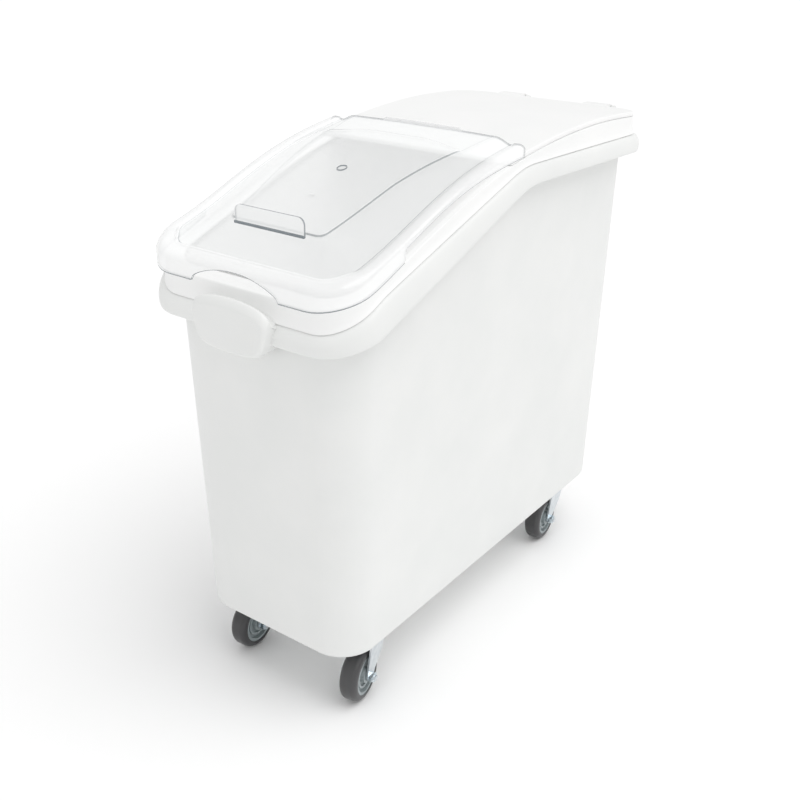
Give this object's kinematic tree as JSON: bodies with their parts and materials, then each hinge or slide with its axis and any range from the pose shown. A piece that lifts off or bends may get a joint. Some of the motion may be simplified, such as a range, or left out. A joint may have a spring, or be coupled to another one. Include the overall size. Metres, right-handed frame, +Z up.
{
  "type": "pet food bin",
  "caption": "Slant-top wheeled bin for dry pet food, with a clear scoop lid that slides back over a hinged rear lid, a front grip and swivel casters.",
  "frame": {"origin": "middle of the bounding box, on the floor", "axes": "+Z up; the front with the grip faces -Y; +X is the bin's right seen from above with the front at the bottom"},
  "size_m": [0.33, 0.75, 0.7184],
  "materials": {
    "white_plastic": "fine satin moulded polyethylene, off-white",
    "lid_plastic": "smooth satin moulded lid, white",
    "clear_plastic": "clear polycarbonate, polished",
    "zinc_steel": "bright zinc-plated pressed steel",
    "bright_steel": "blue-white zinc plate on turned steel",
    "tyre_rubber": "dark grey non-marking elastomer, slight gloss",
    "core_plastic": "blue-grey moulded wheel centre"
  },
  "bodies": {
    "bin": {"bin_tub": "white_plastic", "front_grip": "white_plastic", "hinge_pin_left": "zinc_steel", "hinge_pin_right": "zinc_steel", "caster_screws": "zinc_steel", "plate_front_left": "zinc_steel", "race_front_left": "zinc_steel", "kingpin_front_left": "zinc_steel", "plate_front_right": "zinc_steel", "race_front_right": "zinc_steel", "kingpin_front_right": "zinc_steel", "plate_rear_left": "zinc_steel", "race_rear_left": "zinc_steel", "kingpin_rear_left": "zinc_steel", "plate_rear_right": "zinc_steel", "race_rear_right": "zinc_steel", "kingpin_rear_right": "zinc_steel"},
    "rear_lid": {"rear_lid": "lid_plastic"},
    "front_lid": {"front_lid": "clear_plastic"},
    "fork_front_left": {"fork_front_left": "zinc_steel", "axle_bolt_front_left": "zinc_steel", "axle_nut_front_left": "bright_steel", "bush_front_left": "bright_steel"},
    "wheel_front_left": {"tyre_front_left": "tyre_rubber", "core_front_left": "core_plastic"},
    "fork_front_right": {"fork_front_right": "zinc_steel", "axle_bolt_front_right": "zinc_steel", "axle_nut_front_right": "bright_steel", "bush_front_right": "bright_steel"},
    "wheel_front_right": {"tyre_front_right": "tyre_rubber", "core_front_right": "core_plastic"},
    "fork_rear_left": {"fork_rear_left": "zinc_steel", "axle_bolt_rear_left": "zinc_steel", "axle_nut_rear_left": "bright_steel", "bush_rear_left": "bright_steel"},
    "wheel_rear_left": {"tyre_rear_left": "tyre_rubber", "core_rear_left": "core_plastic"},
    "fork_rear_right": {"fork_rear_right": "zinc_steel", "axle_bolt_rear_right": "zinc_steel", "axle_nut_rear_right": "bright_steel", "bush_rear_right": "bright_steel"},
    "wheel_rear_right": {"tyre_rear_right": "tyre_rubber", "core_rear_right": "core_plastic"}
  },
  "joints": [
    {"name": "rear_lid_hinge", "type": "hinge", "parent": "bin", "child": "rear_lid", "pos_m": [0, 0.3695, 0.694], "axis": [-1, 0, 0], "range_deg": [0, 100]},
    {"name": "front_lid_slide", "type": "hinge", "parent": "rear_lid", "child": "front_lid", "pos_m": [0, 0.1835, -0.4975], "axis": [-1, 0, 0], "range_deg": [0, 11.5]},
    {"name": "swivel_front_left", "type": "hinge", "parent": "bin", "child": "fork_front_left", "pos_m": [-0.095, -0.242, 0.09], "axis": [0, 0, 1], "continuous": true},
    {"name": "wheel_spin_front_left", "type": "hinge", "parent": "fork_front_left", "child": "wheel_front_left", "pos_m": [-0.09298, -0.27093, 0.0375], "axis": [-0.9976, -0.0698, 0], "continuous": true},
    {"name": "swivel_front_right", "type": "hinge", "parent": "bin", "child": "fork_front_right", "pos_m": [0.095, -0.242, 0.09], "axis": [0, 0, 1], "continuous": true},
    {"name": "wheel_spin_front_right", "type": "hinge", "parent": "fork_front_right", "child": "wheel_front_right", "pos_m": [0.10103, -0.27037, 0.0375], "axis": [-0.9781, -0.2079, 0], "continuous": true},
    {"name": "swivel_rear_left", "type": "hinge", "parent": "bin", "child": "fork_rear_left", "pos_m": [-0.095, 0.258, 0.09], "axis": [0, 0, 1], "continuous": true},
    {"name": "wheel_spin_rear_left", "type": "hinge", "parent": "fork_rear_left", "child": "wheel_rear_left", "pos_m": [-0.095, 0.229, 0.0375], "axis": [-1, 0, 0], "continuous": true},
    {"name": "swivel_rear_right", "type": "hinge", "parent": "bin", "child": "fork_rear_right", "pos_m": [0.095, 0.258, 0.09], "axis": [0, 0, 1], "continuous": true},
    {"name": "wheel_spin_rear_right", "type": "hinge", "parent": "fork_rear_right", "child": "wheel_rear_right", "pos_m": [0.09753, 0.22911, 0.0375], "axis": [-0.9962, -0.0872, 0], "continuous": true}
  ]
}
